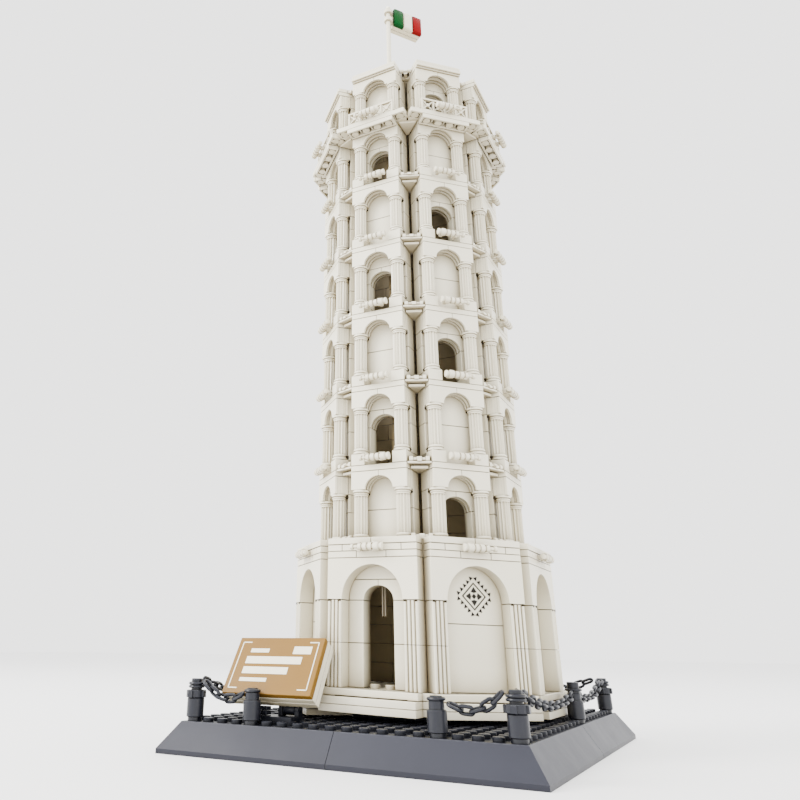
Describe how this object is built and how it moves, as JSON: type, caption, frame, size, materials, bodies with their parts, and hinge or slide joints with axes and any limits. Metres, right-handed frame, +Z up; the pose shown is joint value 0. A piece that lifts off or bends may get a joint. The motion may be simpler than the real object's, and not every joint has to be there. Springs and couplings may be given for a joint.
{
  "type": "miniature landmark model",
  "caption": "Desk model of a leaning, eight-sided arcaded tower in interlocking plastic bricks, on a studded base with a chain fence, a hinged plaque and a small flag.",
  "frame": {"origin": "centre of the base's underside, where the model stands on the table", "axes": "+Z up, -Y the front with the plaque and the gap in the chain fence, +X to the right seen from the front; the tower leans toward +X"},
  "size_m": [0.176, 0.208, 0.4817],
  "materials": {
    "ivory_plastic": "glossy",
    "tan_plastic": "glossy",
    "grey_plastic": "glossy",
    "dark_plastic": "glossy",
    "gold_plastic": "satin",
    "green_plastic": "glossy",
    "red_plastic": "glossy"
  },
  "bodies": {
    "monument": {"border_front_left": "grey_plastic", "border_front_right": "grey_plastic", "border_back_left": "grey_plastic", "border_back_right": "grey_plastic", "base_lower_deck": "dark_plastic", "base_studded_deck": "grey_plastic", "post_front_left": "dark_plastic", "post_front_inner_left": "dark_plastic", "post_front_inner_right": "dark_plastic", "post_front_right": "dark_plastic", "post_side_right": "dark_plastic", "post_back_right": "dark_plastic", "post_back_middle": "dark_plastic", "post_back_left": "dark_plastic", "post_side_left": "dark_plastic", "tower_footing": "dark_plastic", "plinth": "ivory_plastic", "lean_shim": "tan_plastic", "ground_panel_front": "ivory_plastic", "ground_panel_front_right": "ivory_plastic", "ground_panel_right": "ivory_plastic", "ground_panel_back_right": "ivory_plastic", "ground_panel_back": "ivory_plastic", "ground_panel_back_left": "ivory_plastic", "ground_panel_left": "ivory_plastic", "ground_panel_front_left": "ivory_plastic", "ground_cornice": "ivory_plastic", "gallery_2": "ivory_plastic", "gallery_3": "ivory_plastic", "floor_3": "ivory_plastic", "gallery_4": "ivory_plastic", "floor_4": "ivory_plastic", "gallery_5": "ivory_plastic", "floor_5": "ivory_plastic", "gallery_6": "ivory_plastic", "floor_6": "ivory_plastic", "gallery_7": "ivory_plastic", "floor_7": "ivory_plastic", "belfry_cornice": "ivory_plastic", "belfry_arcade": "ivory_plastic", "roof_slabs": "ivory_plastic", "roof_deck": "ivory_plastic", "tower_core": "tan_plastic", "flagpole": "ivory_plastic", "plaque_hinge_base": "dark_plastic"},
    "plaque": {"plaque_face": "gold_plastic", "plaque_backing": "ivory_plastic", "plaque_hinge_leaf": "dark_plastic"},
    "flag": {"flag_backing": "ivory_plastic", "flag_tile_green": "green_plastic", "flag_tile_white": "ivory_plastic", "flag_tile_red": "red_plastic"},
    "chain_front_left": {"chain_front_left": "dark_plastic"},
    "chain_front_right": {"chain_front_right": "dark_plastic"},
    "chain_right_front": {"chain_right_front": "dark_plastic"},
    "chain_right_back": {"chain_right_back": "dark_plastic"},
    "chain_back_right": {"chain_back_right": "dark_plastic"},
    "chain_back_left": {"chain_back_left": "dark_plastic"},
    "chain_left_back": {"chain_left_back": "dark_plastic"},
    "chain_left_front": {"chain_left_front": "dark_plastic"}
  },
  "joints": [
    {"name": "plaque_tilt", "type": "hinge", "parent": "monument", "child": "plaque", "pos_m": [-0.0322, -0.0779, 0.0184], "axis": [1, 0, 0], "range_deg": [-2, 3]},
    {"name": "flag_swivel", "type": "hinge", "parent": "monument", "child": "flag", "pos_m": [0.01654, -0.034, 0.47219], "axis": [0.0244, 0, 0.9997], "continuous": true},
    {"name": "chain_front_left_swing", "type": "hinge", "parent": "monument", "child": "chain_front_left", "pos_m": [-0.0712, -0.092, 0.0297], "axis": [0.9804, 0, -0.197], "range_deg": [-40, 20]},
    {"name": "chain_front_right_swing", "type": "hinge", "parent": "monument", "child": "chain_front_right", "pos_m": [0.0488, -0.092, 0.0252], "axis": [0.9804, 0, 0.197], "range_deg": [-40, 40]},
    {"name": "chain_right_front_swing", "type": "hinge", "parent": "monument", "child": "chain_right_front", "pos_m": [0.076, -0.0872, 0.0297], "axis": [0, 0.9989, -0.0476], "range_deg": [-40, 40]},
    {"name": "chain_right_back_swing", "type": "hinge", "parent": "monument", "child": "chain_right_back", "pos_m": [0.076, 0.0168, 0.0252], "axis": [0, 0.998, 0.0638], "range_deg": [-40, 40]},
    {"name": "chain_back_right_swing", "type": "hinge", "parent": "monument", "child": "chain_back_right", "pos_m": [0.0712, 0.092, 0.0297], "axis": [-0.9974, 0, -0.0719], "range_deg": [-40, 40]},
    {"name": "chain_back_left_swing", "type": "hinge", "parent": "monument", "child": "chain_back_left", "pos_m": [-0.0008, 0.092, 0.0252], "axis": [-0.998, 0, 0.0638], "range_deg": [-40, 40]},
    {"name": "chain_left_back_swing", "type": "hinge", "parent": "monument", "child": "chain_left_back", "pos_m": [-0.076, 0.0872, 0.0297], "axis": [0, -0.998, -0.0638], "range_deg": [-40, 40]},
    {"name": "chain_left_front_swing", "type": "hinge", "parent": "monument", "child": "chain_left_front", "pos_m": [-0.076, 0.0072, 0.0252], "axis": [0, -0.9989, 0.0476], "range_deg": [-40, 40]}
  ]
}
